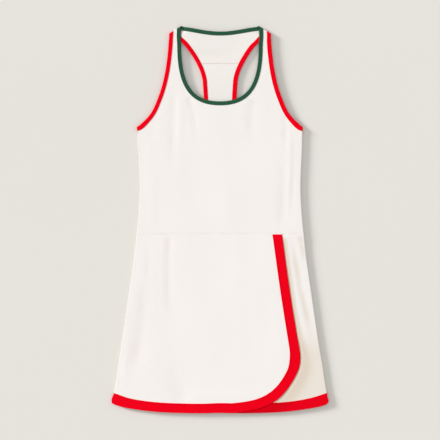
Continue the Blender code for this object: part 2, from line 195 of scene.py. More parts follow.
def places(line, distances):
    found, index, walked = [], 0, 0.0
    for distance in distances:
        while index < len(line) - 2 and walked + (line[index + 1] - line[index]).length < distance:
            walked += (line[index + 1] - line[index]).length
            index += 1
        span = (line[index + 1] - line[index]).length
        found.append(line[index].lerp(line[index + 1], min((distance - walked) / span, 1.0)))
    return found


def lengthOf(line):
    return sum((end - start).length for start, end in zip(line, line[1:]))


def stations(line, steps):
    total = lengthOf(line)
    return [line[0], *places(line, [total * step / steps for step in range(1, steps)]), line[-1]]


def rollStations(line):
    total = lengthOf(line)
    return [line[0], *places(line, [total * share for share in garment["rollShares"][1:-1]]), line[-1]]


def chain(*stretches):
    joined = list(stretches[0])
    for stretch in stretches[1:]:
        joined += stretch[1:]
    return joined


def overFold(front, back, steps=16):
    flat = Vector((back.x, back.y, 0))
    out = Vector((*foldOut, 0))
    turned = [front.lerp(flat, step / steps) + step / steps * halfTurn * out for step in range(1, steps)]
    return [front, *turned, back]


def levelLine(start, end, steps):
    return [start.lerp(end, step / steps) for step in range(steps + 1)]


def hemLine(first, last, layer, steps=120):
    spots = [first + (last - first) * step / steps for step in range(steps + 1)]
    return [Vector((across, hemHeight(across), layer)) for across in spots]


def sidePoint(height, layer, hand=1):
    return Vector((hand * (halfWidth(height) - garment["edge"] + sideSeam), height, layer))


def sideLine(low, high, layer, steps, hand=1):
    return [sidePoint(low + (high - low) * step / steps, layer, hand) for step in range(steps + 1)]


# a level row from a side seam inwards, with close columns where the side rolls
def rollRow(start, end, steps):
    inner = Vector((start.x - math.copysign(sideSeam, start.x), start.y, start.z))
    return chain(rollStations([start, inner]), levelLine(inner, end, steps))


def bends(edge):
    total = lengthOf(edge)
    shares, walked = [0.0], 0.0
    for start, end in zip(edge, edge[1:]):
        walked += (end - start).length
        shares.append(walked / total)
    return shares, [spot - edge[0].lerp(edge[-1], share) for spot, share in zip(edge, shares)]


# pattern rows from the outer to the inner edge, spaced as the bottom row and bent with the bottom and top
def rowsBetween(outer, inner, bottom, top=None):
    lowShares, lowBends = bends(bottom)
    highShares, highBends = bends(top) if top else (lowShares, [Vector((0, 0, 0))] * len(bottom))
    rows = [bottom]
    for index in range(1, len(outer)):
        height = index / (len(outer) - 1)
        start, end = outer[index], inner[index]
        near = min(sideSeam / (end - start).length, garment["rollMost"])
        row = []
        for column, (low, high) in enumerate(zip(lowShares, highShares)):
            if column <= rollSteps:
                share = near * garment["rollShares"][column]
            else:
                lowEven = (low - lowShares[rollSteps]) / (1 - lowShares[rollSteps])
                highEven = (high - highShares[rollSteps]) / (1 - highShares[rollSteps])
                share = near + (1 - near) * (lowEven * (1 - height) + highEven * height)
            bend = lowBends[column] * (1 - height) + highBends[column] * height
            row.append(start.lerp(end, share) + bend)
        rows.append(row)
    if top:
        rows[-1] = top
    return rows


# rows across a strip between two edges with as many stations
def stripRows(edge, other, across):
    return [levelLine(start, end, across) for start, end in zip(edge, other)]


# The outlines
frontArmhole = [Vector((0.1955, 0.6360, 0))] + arcs((
    (0.1868, 0.6412),
    (0.1613, 0.6653),
    (0.1542, 0.6691),
    (0.1414, 0.7033),
    (0.1217, 0.7503),
    (0.1174, 0.8013),
    (0.1138, 0.8530),
)) + [Vector((0.1125, 0.8720, 0))]
backArmhole = [Vector((0.1955, 0.6530, 1))] + arcs((
    (0.1868, 0.6412),
    (0.1719, 0.6180),
    (0.0330, 0.5636),
    (0.0356, 0.7049),
    (0.0356, 0.7180),
    (0.0362, 0.7310),
    (0.0372, 0.7434),
    (0.0396, 0.7735),
    (0.0830, 0.8440),
    (0.1120, 0.8526),
), layer=1) + [Vector((0.1180, 0.8540, 1))]
frontNeck = [Vector((0.0873, 0.8800, 0))] + arcs((
    (0.0873, 0.8240),
    (0.0873, 0.7278),
    (0.0542, 0.7006),
    (0.0000, 0.7006),
)) + [Vector((-0.0100, 0.7006, 0))]
backNeck = [Vector((0.0930, 0.8720, 1))] + arcs((
    (0.0860, 0.8693),
    (0.0830, 0.8682),
    (0.0800, 0.8679),
    (0.0720, 0.8666),
    (0.0500, 0.8632),
    (0.0280, 0.8574),
    (0.0000, 0.8574),
), layer=1) + [Vector((-0.0100, 0.8574, 1))]
wrapArcs = (
    (0.0300, 0.0001),
    (0.1000, 0.0100),
    (0.1330, 0.0170),
    (0.1676, 0.0776),
    (0.1820, 0.1030),
    (0.1834, 0.1180),
    (0.1780, 0.1496),
    (0.1622, 0.2332),
    (0.1510, 0.3172),
    (0.1385, 0.4090),
)
# where a trim is wider: across, height, half width and half height of the spot, and the share more
wrapWide = (
    (0.180, 0.100, 0.045, 0.070, 0.070),
    (0.182, 0.114, 0.030, 0.022, 0.080),
    (0.128, 0.028, 0.035, 0.040, 0.060),
    (0.032, 0.005, 0.022, 0.040, 0.035),
)
hemWide = ((-0.238, 0.020, 0.030, 0.050, 0.13), (0.238, 0.020, 0.036, 0.050, 0.15))
armWide = ((0.176, 0.650, 0.016, 0.016, 0.14),)
# small pulls on the laid cloth: hand (0 for both), across, height, half width, half height, pull out, pull up
pulls = (
    (-1, 0.2433, 0.0210, 0.0050, 0.0050, -0.0010, 0.0010),  # hem corners, rounded
    (1, 0.2460, 0.0205, 0.0050, 0.0050, -0.0025, 0.0015),
    (-1, 0.2440, 0.0320, 0.0120, 0.0090, 0.0024, 0.0),  # ends of the hem bands
    (1, 0.2440, 0.0330, 0.0120, 0.0080, -0.0011, 0.0),
    (0, 0.0, 0.0180, 0.0240, 0.0300, 0.0, 0.0014),  # the hem's middle
    (0, 0.0930, 0.8500, 0.0120, 0.0150, 0.0013, 0.0),  # the neck's upper corners
    (1, 0.1030, 0.8560, 0.0060, 0.0160, 0.0012, 0.0),
    (0, 0.1850, 0.6305, 0.0090, 0.0060, 0.0, 0.0030),  # lower ends of the armhole bindings
    (-1, 0.1868, 0.6400, 0.0100, 0.0080, 0.0012, 0.0),
    (0, 0.0340, 0.7350, 0.0140, 0.0220, 0.0009, 0.0),  # the racer's narrowest part
    (1, 0.0780, 0.8400, 0.0180, 0.0120, 0.0, -0.0030),  # its upper ends
    (-1, 0.0850, 0.8430, 0.0120, 0.0100, 0.0, -0.0012),
)
straightFoot = 0.1400  # height where the wrap's corner ends
cornerMiddle = 0.2050  # across + height at its middle
wrapOutline = hemLine(-garment["pastHem"], wrapArcs[0][0], 0)[:-1] + arcs(wrapArcs)


# The laid surface
# how the dress lies beyond its pattern; a zone is where a change starts, and its reach
settled = {
    "hemDrop": 0.0011,
    "hemZone": (0.0900, -0.0900),
    "shoulderRise": 0.0005,
    "shoulderZone": (0.8000, 0.0600),
    "rightSpread": 0.0019,  # the right side lies wider than the left
    "spreadZone": (0.6600, -0.0900),
    "rightFlare": 0.0010,
    "flareZone": (0.1600, -0.0600),
    "flareBack": 0.0022,
    "flareBackZone": (0.0300, -0.0300),
    "sideZone": (-0.0450, 0.0400),
    "racerShift": 0.0005,
    "racerFootZone": (0.6200, 0.0500),
    "racerHeadZone": (0.8400, -0.0400),
    "racerSideZone": (0.1200, -0.0400),
    "racerWiden": 0.0009,
    "widenZone": (0.7900, -0.0400),
}


# both hands laid on one, without the layer
def oneHand(points):
    return np.stack([abs(points[:, 0]), points[:, 1]], 1)


# how far such points are past the fold lines of the side and the shoulder
def besideFold(flat):
    return flat[:, 0] - (halfWidth(flat[:, 1]) - garment["edge"])


def overShoulder(flat):
    return (flat - np.array(foldStart)) @ np.array(foldOut)


def pressed(value):
    return np.sign(value) * abs(value) ** garment["press"]


def layPoints(points, out, rise):
    roll = garment["roll"]
    hand = np.where(points[:, 0] < 0, -1.0, 1.0)
    flat = oneHand(points)
    behind = points[:, 2] > 0.5
    radius = levelRadius + out
    past = np.where(behind, 0, np.maximum(overShoulder(flat), 0))
    turned = flat + np.outer(pressed(np.sin(past / roll)) * radius - past, foldOut)
    beside = np.maximum(besideFold(flat), 0)
    rolled = flat[:, 0] + pressed(np.sin(beside / roll)) * radius - beside
    upright = pressed(np.cos(beside / roll))
    sideLevel = levelMiddle + np.where(behind, -1, 1) * upright * radius + rise * upright
    overTop = past > 0
    across = np.where(overTop, turned[:, 0], rolled)
    height = np.where(overTop, turned[:, 1], flat[:, 1])
    level = np.where(overTop, levelMiddle + pressed(np.cos(past / roll)) * radius, sideLevel)
    across, height = settle(across, height, flat, hand)
    across = hand * across + behind * racerMove(flat, hand)
    return np.stack([across, height - garment["length"] / 2, level], 1)


def settle(across, height, flat, hand):
    drop = settled["hemDrop"] * ramp(height, *settled["hemZone"])
    height = height + settled["shoulderRise"] * ramp(height, *settled["shoulderZone"]) - drop
    spread = settled["rightSpread"] * ramp(flat[:, 1], *settled["spreadZone"])
    spread += settled["rightFlare"] * ramp(flat[:, 1], *settled["flareZone"])
    spread -= settled["flareBack"] * ramp(flat[:, 1], *settled["flareBackZone"])
    nearSide = ramp(flat[:, 0] - halfWidth(flat[:, 1]), *settled["sideZone"])
    across = across + spread * (hand > 0) * nearSide
    outward, upward = 0, 0
    for side, middle, middleHeight, halfAcross, halfHeight, out, up in pulls:
        near = bell(across - middle, halfAcross) * bell(height - middleHeight, halfHeight)
        near *= side * hand >= 0
        outward, upward = outward + out * near, upward + up * near
    return across + outward, height + upward


# how far the racer back lies to the right of the pattern
def racerMove(flat, hand):
    aside = ramp(flat[:, 1], *settled["racerFootZone"]) * ramp(flat[:, 1], *settled["racerHeadZone"])
    aside *= ramp(flat[:, 0], *settled["racerSideZone"])
    wider = aside * ramp(flat[:, 1], *settled["widenZone"])
    return settled["racerShift"] * aside + settled["racerWiden"] * hand * wider


# distance from each point to a line, the share of the way along it, and how far it lies to its right
def nearLine(flat, line):
    start = np.array(line)[:-1, :2]
    along = np.diff(np.array(line)[:, :2], axis=0)
    aside = flat[:, None] - start
    share = np.clip((aside * along).sum(2) / (along**2).sum(1), 0, 1)
    gap = np.linalg.norm(aside - share[..., None] * along, axis=2)
    nearest = gap.argmin(1)
    rows = np.arange(len(flat))
    along, aside = along[nearest], aside[rows, nearest]
    right = (aside[:, 0] * along[:, 1] - aside[:, 1] * along[:, 0]) / np.linalg.norm(along, axis=1)
    return gap[rows, nearest], (nearest + share[rows, nearest]) / len(start), right


# soft troughs and ridges: knots of the line, half width, rise, painted shade in the trough, and the shares
# over which the ends fade
frontCreases = (
    (((-0.071, 0.712), (-0.060, 0.672), (-0.051, 0.600)), 0.007, -0.00036, 0.12, 0.15, 0.6),
    (((0.079, 0.706), (0.069, 0.670), (0.073, 0.590)), 0.011, -0.00044, 0.14, 0.2, 0.6),
    (((-0.103, 0.740), (-0.107, 0.640), (-0.106, 0.540)), 0.010, -0.00040, 0.08, 0.4, 0.5),
    (((-0.088, 0.720), (-0.090, 0.650), (-0.086, 0.590)), 0.009, 0.00022, 0, 0.3, 0.6),
    (((-0.128, 0.690), (-0.136, 0.650), (-0.134, 0.590)), 0.007, 0.00018, 0, 0.3, 0.5),
    (((0.143, 0.672), (0.147, 0.640), (0.146, 0.575)), 0.006, -0.00030, 0.12, 0.25, 0.5),
    (((0.139, 0.580), (0.141, 0.500), (0.136, 0.410)), 0.009, -0.00025, 0.10, 0.4, 0.2),
    (((0.156, 0.640), (0.157, 0.560), (0.152, 0.470)), 0.005, 0.00018, 0, 0.3, 0.4),
    (((0.166, 0.620), (0.163, 0.540), (0.160, 0.440)), 0.004, -0.00022, 0.10, 0.3, 0.3),
    (((-0.070, 0.560), (-0.062, 0.500), (-0.060, 0.440)), 0.014, -0.00015, 0, 0.5, 0.5),
    (((0.020, 0.540), (0.014, 0.470), (0.018, 0.410)), 0.016, 0.00015, 0, 0.5, 0.4),
    (((-0.150, 0.560), (-0.152, 0.480), (-0.156, 0.410)), 0.010, 0.00018, 0, 0.4, 0.3),
)
skirtCreases = (
    (((-0.114, 0.398), (-0.117, 0.300), (-0.111, 0.200)), 0.008, -0.00034, 0.14, 0.08, 0.5),
    (((-0.162, 0.380), (-0.162, 0.330), (-0.163, 0.280)), 0.007, -0.00020, 0.08, 0.3, 0.5),
    (((-0.168, 0.300), (-0.180, 0.171), (-0.199, 0.085)), 0.014, -0.00045, 0.14, 0.3, 0.35),
    (((-0.208, 0.220), (-0.214, 0.130), (-0.222, 0.060)), 0.010, 0.00022, 0, 0.4, 0.3),
    (((-0.114, 0.110), (-0.100, 0.060), (-0.078, 0.026)), 0.014, -0.00018, 0.06, 0.4, 0.15),
    (((0.040, 0.395), (0.043, 0.330), (0.036, 0.240)), 0.016, 0.00015, 0, 0.1, 0.6),
    (((0.098, 0.300), (0.108, 0.220), (0.118, 0.120)), 0.016, -0.00015, 0, 0.4, 0.5),
    (((-0.020, 0.240), (-0.014, 0.160), (-0.018, 0.070)), 0.018, 0.00016, 0, 0.4, 0.4),
    (((0.080, 0.120), (0.096, 0.075), (0.112, 0.055)), 0.012, 0.00015, 0, 0.4, 0.3),
)
underCreases = (
    (
        ((0.150, 0.392), (0.165, 0.331), (0.172, 0.286), (0.181, 0.241), (0.190, 0.196)),
        0.006, 0.00014, 0, 0.2, 0.3,
    ),
    (
        ((0.161, 0.392), (0.1715, 0.331), (0.179, 0.286), (0.190, 0.241), (0.200, 0.196), (0.2115, 0.151)),
        0.0065, -0.00022, 0.42, 0.25, 0.3,
    ),
    (((0.170, 0.392), (0.183, 0.331), (0.191, 0.286), (0.202, 0.241)), 0.006, 0.00014, 0, 0.2, 0.4),
    (((0.178, 0.399), (0.182, 0.376), (0.192, 0.331)), 0.0045, -0.00020, 0.45, 0.1, 0.5),
)


surface = {
    "uneven": 0.25,
    "unevenPace": 11,
    "unevenStart": 40,
    "drift": 0.00008,
    # pace across, pace up, start, share
    "driftWaves": ((41, 13, 0.6, 1), (23, -29, 2.1, 1), (67, 7, 4.0, 0.7)),
    "sideSteep": 3,
    "dip": 0.0003,
    "waistDip": 0.00006,
    "waistDipBehind": 0.0004,
    "dipReach": 0.0012,
    "rimFold": 0.0007,  # a trim is this far off its middle where its fold starts to turn
}
# painted shade along the waist seam, stronger in patches
waistSeam = {"shade": 0.07, "shadeMore": 0.10, "above": 0.0020, "half": 0.0028, "patches": (97, 2.6, 31)}


def creaseField(points, creases):
    rise, paintedShade = np.zeros(len(points)), np.zeros(len(points))
    for knots, half, lift, shade, fadeIn, fadeOut in creases:
        distance, place, _ = nearLine(points[:, :2], smoothLine(knots))
        swell = ease(place / fadeIn) * ease((1 - place) / fadeOut)
        uneven = np.sin(surface["unevenPace"] * place + surface["unevenStart"] * half)
        row = bell(distance, half) * swell * (1 + surface["uneven"] * uneven)
        rise += lift * row
        # painted shade along each trough
        paintedShade += shade * row
    return rise, paintedShade


# slow unevenness of cloth that was smoothed by hand
def drift(points):
    waves = 0
    for across, up, start, share in surface["driftWaves"]:
        waves += share * np.sin(across * points[:, 0] + up * points[:, 1] + start)
    return surface["drift"] * waves


def edgeFade(points):
    flat = oneHand(points)
    return ease(-besideFold(flat) / garment["fade"]) * ease(-overShoulder(flat) / garment["fade"])


# a wave whose pace sways on the way
def swaying(place, pace, sway, swayPace):
    return np.sin(pace * place + sway * np.sin(swayPace * place))


gathers = {
    "height": 0.00005,
    "reach": 0.0070,
    "wave": (530, 3, 61),
    "steady": 0.55,
    "swell": 0.45,
    "swellPace": 37,
    "swellStart": 1.3,
    "fine": 0.5,
    "finePace": 290,
    "fineStart": 2,
}


# small gathers along the waist seam
def puckers(points):
    across, away = points[:, 0], abs(points[:, 1] - garment["waist"])
    swell = gathers["swell"] * np.sin(gathers["swellPace"] * across + gathers["swellStart"])
    fine = gathers["fine"] * np.sin(gathers["finePace"] * across + gathers["fineStart"])
    rise = swaying(across, *gathers["wave"]) * (gathers["steady"] + swell) + fine
    return gathers["height"] * rise * np.exp(-away / gathers["reach"])


ripples = {
    "steps": 50,
    "height": 0.00004,
    "away": 0.0125,
    "half": 0.0045,
    "wave": (620, 2, 70),
    "steady": 0.6,
    "swell": 0.4,
    "swellPace": 43,
    "swellAcross": 30,
}
trimLines = [stations(line, ripples["steps"]) for line in (frontArmhole, frontNeck)]


# small ripples where a binding draws the cloth in
def trimRipples(points):
    flat = oneHand(points)
    total = np.zeros(len(points))
    for line in trimLines:
        distance, place, _ = nearLine(flat, line)
        along = place * lengthOf(line)
        swell = np.sin(ripples["swellPace"] * along + ripples["swellAcross"] * points[:, 0])
        ripple = swaying(along, *ripples["wave"]) * (ripples["steady"] + ripples["swell"] * swell)
        total += ripples["height"] * ripple * bell(distance - ripples["away"], ripples["half"])
    return total


# how far a panel's edge turns down into a seam
def seamDip(distance, depth):
    return -depth * (1 - ease(distance / surface["dipReach"]))


def sideDip(points):
    return seamDip(sideSeam - besideFold(oneHand(points)), surface["dip"])


def frontShape(points):
    rise, paintedShade = creaseField(points, frontCreases + skirtCreases)
    rise += drift(points) + puckers(points)
    # painted shade along the waist seam
    seam = bell(points[:, 1] - garment["waist"] - waistSeam["above"], waistSeam["half"])
    patches = ease(swaying(points[:, 0], *waistSeam["patches"]))
    paintedShade += seam * (waistSeam["shade"] + waistSeam["shadeMore"] * patches)
    fade = edgeFade(points)
    return rise * fade, paintedShade * fade


# the racer back and the yoke rise to lie against the front
racer = {
    "lift": 0.0023,
    "liftZone": (0.6600, 0.1000),
    "sideZone": (0.1250, -0.0350),
    "turn": 0.0160,
    "swell": 0.0016,  # at the left the yoke swells up beside the neck binding that lies on it
    "swellZone": (0.7950, 0.0300),
    "swellAcross": (0.0500, -0.1300),
    "swellStart": (-0.0002, 0.0030),
    "swellTurn": 0.0080,
    "seamHalf": 0.0013,
    "seamShade": 0.35,
}


def backShape(points):
    flat = oneHand(points)
    below = -overShoulder(flat)
    lift = racer["lift"] * ramp(points[:, 1], *racer["liftZone"])
    lift *= ease(below / racer["turn"]) * ramp(flat[:, 0], *racer["sideZone"])
    _, _, inside = nearLine(flat, trimLines[1])
    swell = ramp(inside, *racer["swellStart"]) * ease(below / racer["swellTurn"])
    swell *= ramp(points[:, 1], *racer["swellZone"]) * ramp(points[:, 0], *racer["swellAcross"])
    # painted shade along the yoke seam
    seam = bell(points[:, 1] - garment["yokeSeam"], racer["seamHalf"])
    return lift + racer["swell"] * swell, racer["seamShade"] * seam


# over the lower layer's hem the wrap steps up
wrap = {"step": 0.0005, "stepZone": (0.0650, -0.0300), "stepAcross": (-0.0850, 0.0300)}


def wrapShape(points):
    rise, paintedShade = frontShape(points)
    step = ramp(points[:, 1], *wrap["stepZone"]) * ramp(points[:, 0], *wrap["stepAcross"])
    return rise + wrap["step"] * step, paintedShade


under = {
    "end": -0.0450,
    "runOn": 0.0020,  # how much further the hem's line runs before it is cut there
    "edgeSteps": 70,
    "drop": 0.0016,  # beneath the wrap
    "lip": 0.0013,  # how much of it is won back just past the wrap's edge
    "lipReach": (-0.0002, 0.0022),
    "rest": (0.0030, 0.0320),
    "sideDrop": 0.0005,
    "sideDropZone": (-0.0300, 0.0300),
    "sideDropReach": 0.0120,
}
# painted warm shade beside the wrap, where its edge shades the layer under it: a narrow line at the waist,
# and a wide patch round its corner; on the under band it is a painted shadow of the wrap band
wrapShade = {
    "width": 0.0030,
    "cornerWidth": 0.0140,
    "cornerZone": (0.1700, -0.0900),
    "hemWidth": -0.0060,
    "hemZone": (0.0850, -0.0350),
    "fade": 0.0100,
    "cornerFade": 0.0080,
    "cornerFadeZone": (0.2400, -0.1200),
    "hemFade": 0.0120,
    "left": 0.58,  # how much of it is left over the rest of the layer, low down
    "leftZone": (0.2000, -0.0800),
    "paler": 0.10,
    "palerZone": (0.1600, -0.0500),
    "waistReach": 0.0120,
}
wrapRight = stations([spot for spot in wrapOutline if spot.x > 0], under["edgeSteps"])


def underShape(points):
    _, _, right = nearLine(points[:, :2], wrapRight)
    height, waist = points[:, 1], garment["waist"]
    past = ramp(right, *under["lipReach"])
    rest = under["drop"] - under["lip"] - under["sideDrop"]
    level = under["lip"] * past + rest * ramp(right, *under["rest"]) - under["drop"]
    sideRise = ramp(height - waist, *under["sideDropZone"]) * ease(right / under["sideDropReach"])
    level += under["sideDrop"] * sideRise
    folds, paintedShade = creaseField(points, underCreases)
    # painted shade beside the wrap, and on the under band the wrap band's painted shadow
    low = ramp(height, *wrapShade["hemZone"])
    width = wrapShade["width"] + wrapShade["cornerWidth"] * ramp(height, *wrapShade["cornerZone"])
    fade = wrapShade["fade"] + wrapShade["cornerFade"] * ramp(height, *wrapShade["cornerFadeZone"])
    left = wrapShade["left"] * ramp(height, *wrapShade["leftZone"])
    away = ramp(right, width + wrapShade["hemWidth"] * low, fade + wrapShade["hemFade"] * low)
    shade = 1 - (1 - left) * away - wrapShade["paler"] * ramp(height, *wrapShade["palerZone"])
    shade *= ease((waist - height) / wrapShade["waistReach"])
    rise = level + (drift(points) + folds) * edgeFade(points) * past
    return rise, np.clip(shade + paintedShade * past, 0, 1)


print("pattern drafted")


# Materials
finish = {"specular": 0.03, "sheenRoughness": 0.6}


def newMaterial(name, roughness, sheen=0.0):
    material = bpy.data.materials.new(name)
    material.use_nodes = True
    shader = material.node_tree.nodes["Principled BSDF"]
    shader.inputs["Roughness"].default_value = roughness
    shader.inputs["Specular IOR Level"].default_value = finish["specular"]
    shader.inputs["Sheen Weight"].default_value = sheen
    shader.inputs["Sheen Roughness"].default_value = finish["sheenRoughness"]
    return material, material.node_tree, shader


def mathNode(tree, operation, *values):
    node = tree.nodes.new("ShaderNodeMath")
    node.operation = operation
    for socket, value in zip(node.inputs, values):
        if isinstance(value, (int, float)):
            socket.default_value = value
        else:
            tree.links.new(value, socket)
    return node.outputs[0]


def mixColours(tree, share, first, second):
    node = tree.nodes.new("ShaderNodeMix")
    node.data_type = "RGBA"
    for socket, value in ((node.inputs[0], share), (node.inputs[6], first), (node.inputs[7], second)):
        if isinstance(value, tuple):
            socket.default_value = value
        else:
            tree.links.new(value, socket)
    return node.outputs[2]


def darker(colour, share):
    return tuple(share * value for value in colour[:3]) + (1,)


def wave(tree, operation, place, pitch):
    return mathNode(tree, operation, mathNode(tree, "MULTIPLY", place, 2 * math.pi / pitch))


def attribute(tree, name):
    node = tree.nodes.new("ShaderNodeAttribute")
    node.attribute_name = name
    return node.outputs["Fac"]


def addBump(tree, shader, height, strength, distance):
    bump = tree.nodes.new("ShaderNodeBump")
    bump.inputs["Strength"].default_value = strength
    bump.inputs["Distance"].default_value = distance
    tree.links.new(height, bump.inputs["Height"])
    tree.links.new(bump.outputs[0], shader.inputs["Normal"])


def patternPlace(tree):
    uv = tree.nodes.new("ShaderNodeUVMap")
    uv.uv_map = "pattern"
    split = tree.nodes.new("ShaderNodeSeparateXYZ")
    tree.links.new(uv.outputs[0], split.inputs[0])
    return uv.outputs[0], split.outputs[0], split.outputs[1]


def noiseAt(tree, place, scale, detail=2.0):
    noise = tree.nodes.new("ShaderNodeTexNoise")
    noise.inputs["Scale"].default_value = scale
    noise.inputs["Detail"].default_value = detail
    tree.links.new(place, noise.inputs["Vector"])
    return noise.outputs[0]


# painted shade: the turned edges are painted darker than the flat of the cloth
def paintedEdgeShade(tree, colour, depth, deep):
    share = mathNode(tree, "MULTIPLY", attribute(tree, "paintedRimShade"), depth)
    return mixColours(tree, share, colour, deep)


knit = {
    "wale": 0.0010,
    "course": 0.0008,
    # the warm colour of the painted shade in creases, seams and beside the wrap
    "paintedShade": (0.710, 0.609, 0.490, 1),
    # the colour of the painted shade on the turned edges
    "edge": (0.1, 0.08, 0.06, 1),
    "paintedEdgeShade": 0.38,
    "roughness": 0.9,
    "sheen": 0.05,
    "bump": 0.25,
    "bumpDepth": 0.00012,
    "tone": 260.0,
    "detail": 3.0,
}


# plain jersey: rows of small V stitches, with painted warm shade where the cloth dips
def knitMaterial(name, light, dark):
    material, tree, shader = newMaterial(name, knit["roughness"], knit["sheen"])
    place, across, along = patternPlace(tree)
    zigzag = mathNode(tree, "PINGPONG", across, knit["wale"] / 2)
    courses = wave(tree, "SINE", mathNode(tree, "ADD", along, zigzag), knit["course"])
    wales = wave(tree, "COSINE", across, knit["wale"])
    cloth = mixColours(tree, noiseAt(tree, place, knit["tone"], knit["detail"]), light, dark)
    # painted warm shade where the attribute marks dips, then painted shade on the turned edges
    cloth = mixColours(tree, attribute(tree, "paintedShade"), cloth, knit["paintedShade"])
    cloth = paintedEdgeShade(tree, cloth, knit["paintedEdgeShade"], knit["edge"])
    tree.links.new(cloth, shader.inputs["Base Color"])
    height = mathNode(tree, "SUBTRACT", courses, wales)
    addBump(tree, shader, height, knit["bump"], knit["bumpDepth"])
    return material


rib = {
    "pitch": 0.0012,
    "coursePitch": 0.00084,
    "courseHeight": 0.35,
    "ribShade": 0.25,
    # painted shade and shadow on the bands: how dark, and how much of the attribute is mixed in
    "paintedShade": 0.6,  # how dark, against the rib's darker colour
    "paintedShadeDepth": 0.65,
    # the painted shade on the fold: its colour against the rib's darker colour, and how much is mixed in
    "edge": 0.2,
    "paintedEdgeShade": 0.5,
    "roughness": 0.85,
    "bump": 0.35,
    "bumpDepth": 0.00018,
    "tone": 420.0,
    "detail": 3.0,
}


# rib knit: fine ribs across the strip
def ribMaterial(name, light, dark):
    material, tree, shader = newMaterial(name, rib["roughness"])
    place, along, across = patternPlace(tree)
    ribs = wave(tree, "SINE", along, rib["pitch"])
    courses = wave(tree, "SINE", across, rib["coursePitch"])
    tone = noiseAt(tree, place, rib["tone"], rib["detail"])
    # painted shade in the ribs' valleys: the colour follows the rib's height, over random tone
    tone = mathNode(tree, "MULTIPLY_ADD", ribs, rib["ribShade"], tone)
    cloth = mixColours(tree, tone, dark, light)
    # painted shade from the vertex attribute: the wrap band's shadow on the under band, and creases
    dip = attribute(tree, "paintedShade")
    dip = mathNode(tree, "MULTIPLY", dip, dip)
    depth = mathNode(tree, "MULTIPLY", dip, rib["paintedShadeDepth"])
    cloth = mixColours(tree, depth, cloth, darker(dark, rib["paintedShade"]))
    cloth = paintedEdgeShade(tree, cloth, rib["paintedEdgeShade"], darker(dark, rib["edge"]))
    tree.links.new(cloth, shader.inputs["Base Color"])
    height = mathNode(tree, "MULTIPLY_ADD", courses, rib["courseHeight"], ribs)
    addBump(tree, shader, height, rib["bump"], rib["bumpDepth"])
    return material


def objectTone(tree, shader, first, second, scale, detail=2.0):
    place = tree.nodes.new("ShaderNodeTexCoord").outputs["Object"]
    tone = noiseAt(tree, place, scale, detail)
    tree.links.new(mixColours(tree, tone, first, second), shader.inputs["Base Color"])


yarn = {"roughness": 0.6, "dark": 0.8, "tone": 900.0}


def threadMaterial(name, colour):
    material, tree, shader = newMaterial(name, yarn["roughness"])
    objectTone(tree, shader, colour, darker(colour, yarn["dark"]), yarn["tone"])
    return material


bodiceKnit = knitMaterial("bodiceKnit", (0.880, 0.843, 0.804, 1), (0.852, 0.813, 0.773, 1))
skirtKnit = knitMaterial("skirtKnit", (0.886, 0.847, 0.814, 1), (0.856, 0.817, 0.782, 1))
insideKnit = knitMaterial("insideKnit", (0.862, 0.823, 0.778, 1), (0.834, 0.795, 0.749, 1))
redRib = ribMaterial("redRib", (0.905, 0.000, 0.011, 1), (0.800, 0.000, 0.009, 1))
greenRib = ribMaterial("greenRib", (0.028, 0.105, 0.056, 1), (0.020, 0.078, 0.042, 1))
redThread = threadMaterial("redThread", (0.85, 0.000, 0.014, 1))
greenThread = threadMaterial("greenThread", (0.034, 0.125, 0.066, 1))


# Pieces
# lays grids of pattern rows on one hand or on both, and welds them
def laySheet(name, blocks, material, shape, hands=(1,), wall=garment["knit"], outs=None, uvs=None):
    sheet = bmesh.new()
    uvLayer = sheet.loops.layers.uv.new("pattern")
    # vertex attributes for the materials: painted shade in dips, and painted shade on the turned edges
    paintedShadeLayer = sheet.verts.layers.float.new("paintedShade")
    paintedRimShadeLayer = sheet.verts.layers.float.new("paintedRimShade")
    for hand in hands:
        for rows in blocks:
            spots = np.array([[hand * spot.x, spot.y, spot.z] for row in rows for spot in row])
            made = bmesh.ops.create_grid(sheet, x_segments=len(rows[0]) - 1, y_segments=len(rows) - 1, size=1)
            rise, paintedShade = shape(spots)
            out = panelOut(spots) if outs is None else outs
            laid = layPoints(spots, out, rise)
            paintedRimShade = paintedRimShadeMask(spots, outs)
            flat = spots[:, :2] if uvs is None else uvs
            faces = set()
            for index, vert in enumerate(made["verts"]):
                vert.co = laid[index]
                vert[paintedShadeLayer] = paintedShade[index]
                vert[paintedRimShadeLayer] = paintedRimShade[index]
                vert.index = index
                faces.update(vert.link_faces)
            for face in faces:
                for loop in face.loops:
                    loop[uvLayer].uv = flat[loop.vert.index]
    bmesh.ops.remove_doubles(sheet, verts=sheet.verts, dist=0.00001)
    bmesh.ops.recalc_face_normals(sheet, faces=sheet.faces)
    piece = addPiece(name, sheet, material)
    solid = piece.modifiers.new("Wall", "SOLIDIFY")
    solid.thickness = wall
    solid.offset = 0
    return piece


# where the turned edges get painted shade, by how steeply the laid surface turns down: at the left side,
# which faces the low sun, over the shoulders and along a trim's fold
def paintedRimShadeMask(points, outs):
    flat = oneHand(points)
    beside, past = besideFold(flat) / garment["roll"], overShoulder(flat) / garment["roll"]
    turn = np.sin(np.clip(beside, 0, math.pi / 2))
    side = (1 - np.exp(-surface["sideSteep"] * turn)) * (points[:, 0] < 0)
    fold = np.sin(np.clip(past, 0, math.pi)) * (points[:, 2] < 0.5)
    folded = 0 if outs is None else np.clip(1 - abs(outs) / surface["rimFold"], 0, 1)
    return np.maximum(np.maximum(side, fold), folded)


def addPiece(name, sheet, material):
    mesh = bpy.data.meshes.new(name)
    sheet.to_mesh(mesh)
    sheet.free()
    mesh.shade_smooth()
    mesh.materials.append(material)
    piece = bpy.data.objects.new(name, mesh)
    scene.collection.objects.link(piece)
    return piece


